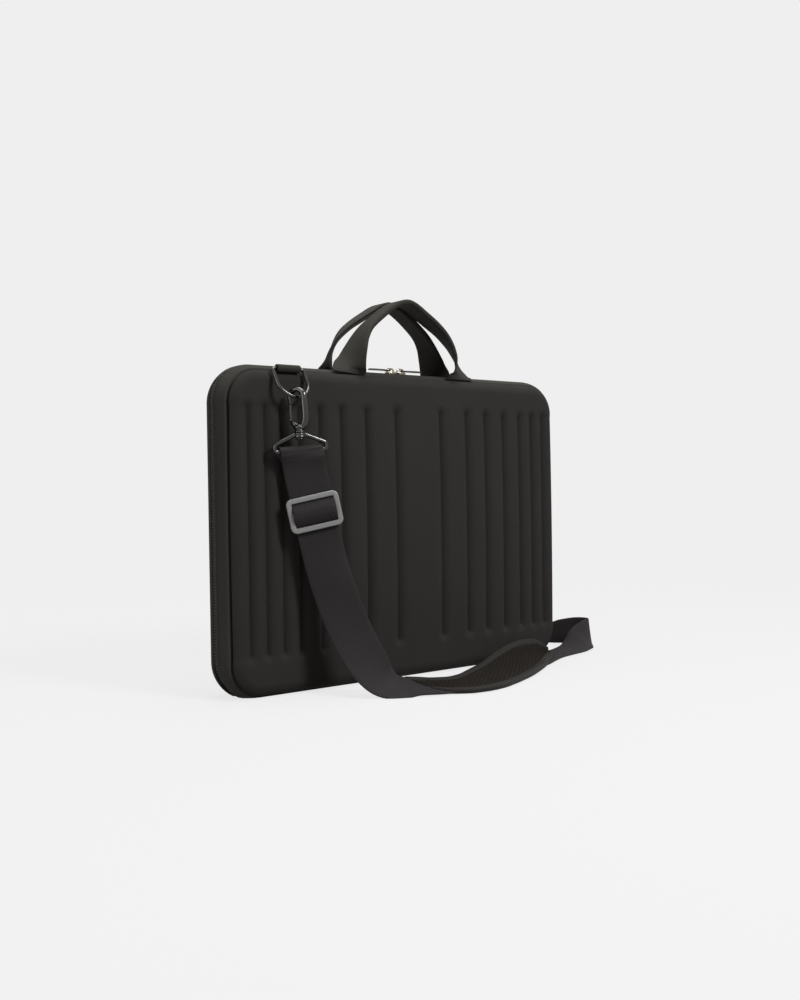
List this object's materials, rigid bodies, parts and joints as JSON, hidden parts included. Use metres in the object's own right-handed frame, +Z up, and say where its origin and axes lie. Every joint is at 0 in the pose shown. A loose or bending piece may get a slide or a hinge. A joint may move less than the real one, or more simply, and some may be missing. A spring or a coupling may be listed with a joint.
{
  "type": "hard shell laptop case",
  "caption": "Zip-round laptop case with two moulded ribbed halves on a fabric hinge, webbing handles, snap-hook shoulder strap with pad and tri-glide, and elastic corners inside.",
  "frame": {"origin": "on the floor under the middle of the case, in the plane where the two halves meet", "axes": "+X along the case's long side, +Y from the front half to the rear half, +Z up from the spine to the handles"},
  "size_m": [0.4651, 0.2324, 0.3671],
  "materials": {
    "moulded_fabric": "soft matt",
    "side_fabric": "soft matt",
    "lining_fabric": "soft",
    "zip_tape": "woven",
    "zip_coil": "satin",
    "webbing": "woven",
    "elastic": "woven",
    "pad_mesh": "ribbed mesh",
    "black_metal": "satin black",
    "black_plastic": "satin",
    "bright_metal": "polished"
  },
  "bodies": {
    "case_front": {"front_shell": "moulded_fabric", "front_lining": "lining_fabric", "front_side_wall": "side_fabric", "front_zip_tape": "zip_tape", "front_zip_teeth": "zip_coil", "spine": "side_fabric", "front_ring_tab": "webbing", "front_strap_eye": "webbing", "strap_front_hang": "webbing", "strap_under_pad": "webbing", "strap_floor_loop": "webbing", "strap_rear_drop": "webbing", "shoulder_pad": "pad_mesh"},
    "case_rear": {"rear_shell": "moulded_fabric", "rear_lining": "lining_fabric", "rear_side_wall": "side_fabric", "rear_zip_tape": "zip_tape", "rear_zip_teeth": "zip_coil", "rear_ring_tab": "webbing", "rear_strap_eye": "webbing", "elastic_top_left": "elastic", "elastic_top_right": "elastic", "elastic_bottom_left": "elastic", "elastic_bottom_right": "elastic"},
    "front_grip": {"front_handle": "webbing"},
    "rear_grip": {"rear_handle": "webbing"},
    "slider_left": {"zip_slider_left": "bright_metal"},
    "pull_left": {"zip_pull_left": "black_metal"},
    "slider_right": {"zip_slider_right": "bright_metal"},
    "pull_right": {"zip_pull_right": "black_metal"},
    "strap_adjuster": {"tri_glide": "black_plastic", "glide_webbing_fold": "webbing"},
    "front_ring": {"front_d_ring": "black_metal"},
    "front_clip": {"front_clip_base": "black_metal"},
    "front_hook": {"front_snap_hook": "black_metal"},
    "front_gate": {"front_hook_gate": "black_metal"},
    "rear_ring": {"rear_d_ring": "black_metal"},
    "rear_clip": {"rear_clip_base": "black_metal"},
    "rear_hook": {"rear_snap_hook": "black_metal"},
    "rear_gate": {"rear_hook_gate": "black_metal"}
  },
  "joints": [
    {"name": "case_hinge", "type": "hinge", "parent": "case_front", "child": "case_rear", "pos_m": [0, 0, 0], "axis": [-1, 0, 0], "range_deg": [0, 170], "deforming": ["spine", "strap_rear_drop", "front_zip_teeth", "rear_zip_teeth"]},
    {"name": "front_handle_swing", "type": "hinge", "parent": "case_front", "child": "front_grip", "pos_m": [0, -0.019, 0.2913], "axis": [1, 0, 0], "range_deg": [0, 55]},
    {"name": "rear_handle_swing", "type": "hinge", "parent": "case_rear", "child": "rear_grip", "pos_m": [0, 0.019, 0.2913], "axis": [-1, 0, 0], "range_deg": [0, 55]},
    {"name": "zip_left_slide", "type": "slide", "parent": "case_front", "child": "slider_left", "axis": [-1, 0, 0], "range_m": [0, 0.15], "deforming": ["front_zip_teeth", "rear_zip_teeth"]},
    {"name": "pull_left_lift", "type": "hinge", "parent": "slider_left", "child": "pull_left", "pos_m": [-0.0068, 0, 0.2984], "axis": [0, 1, 0], "range_deg": [0, 60]},
    {"name": "zip_right_slide", "type": "slide", "parent": "case_front", "child": "slider_right", "axis": [1, 0, 0], "range_m": [0, 0.15], "deforming": ["front_zip_teeth", "rear_zip_teeth"]},
    {"name": "pull_right_lift", "type": "hinge", "parent": "slider_right", "child": "pull_right", "pos_m": [0.008, 0, 0.2984], "axis": [0, -1, 0], "range_deg": [0, 60]},
    {"name": "strap_adjust", "type": "slide", "parent": "case_front", "child": "strap_adjuster", "axis": [0.1957, -0.066, -0.9784], "range_m": [-0.02, 0.015]},
    {"name": "front_clip_swing", "type": "hinge", "parent": "case_front", "child": "front_clip", "pos_m": [-0.13716, -0.04131, 0.21744], "axis": [0.9378, -0.3417, 0.0615], "range_deg": [-3, 0]},
    {"name": "front_ring_swing", "type": "hinge", "parent": "case_front", "child": "front_ring", "pos_m": [-0.139, -0.025, 0.2908], "axis": [-1, 0, 0], "range_deg": [-5.4, 0]},
    {"name": "front_hook_swivel", "type": "hinge", "parent": "front_clip", "child": "front_hook", "pos_m": [-0.1384, -0.041, 0.238], "axis": [-0.06, 0.015, 0.9981], "range_deg": [-20, 7]},
    {"name": "front_gate_open", "type": "hinge", "parent": "front_hook", "child": "front_gate", "pos_m": [-0.14182, -0.03438, 0.24431], "axis": [0.9053, 0.4221, 0.0481], "range_deg": [0, 38], "stiffness_Nm_per_rad": 0.02, "springref_deg": -17.19},
    {"name": "rear_clip_swing", "type": "hinge", "parent": "case_rear", "child": "rear_clip", "pos_m": [0.13716, 0.04131, 0.21744], "axis": [-0.9378, 0.3417, 0.0615], "range_deg": [-3, 0]},
    {"name": "rear_ring_swing", "type": "hinge", "parent": "case_rear", "child": "rear_ring", "pos_m": [0.139, 0.025, 0.2908], "axis": [1, 0, 0], "range_deg": [-5.4, 0]},
    {"name": "rear_hook_swivel", "type": "hinge", "parent": "rear_clip", "child": "rear_hook", "pos_m": [0.1384, 0.041, 0.238], "axis": [0.06, -0.015, 0.9981], "range_deg": [-20, 7]},
    {"name": "rear_gate_open", "type": "hinge", "parent": "rear_hook", "child": "rear_gate", "pos_m": [0.14182, 0.03438, 0.24431], "axis": [-0.9053, -0.4221, 0.0481], "range_deg": [0, 38], "stiffness_Nm_per_rad": 0.02, "springref_deg": -17.19}
  ],
  "couplings": [
    {"joint": "front_ring_swing", "follows": "front_clip_swing", "ratio": 1.77},
    {"joint": "rear_ring_swing", "follows": "rear_clip_swing", "ratio": 1.77}
  ]
}
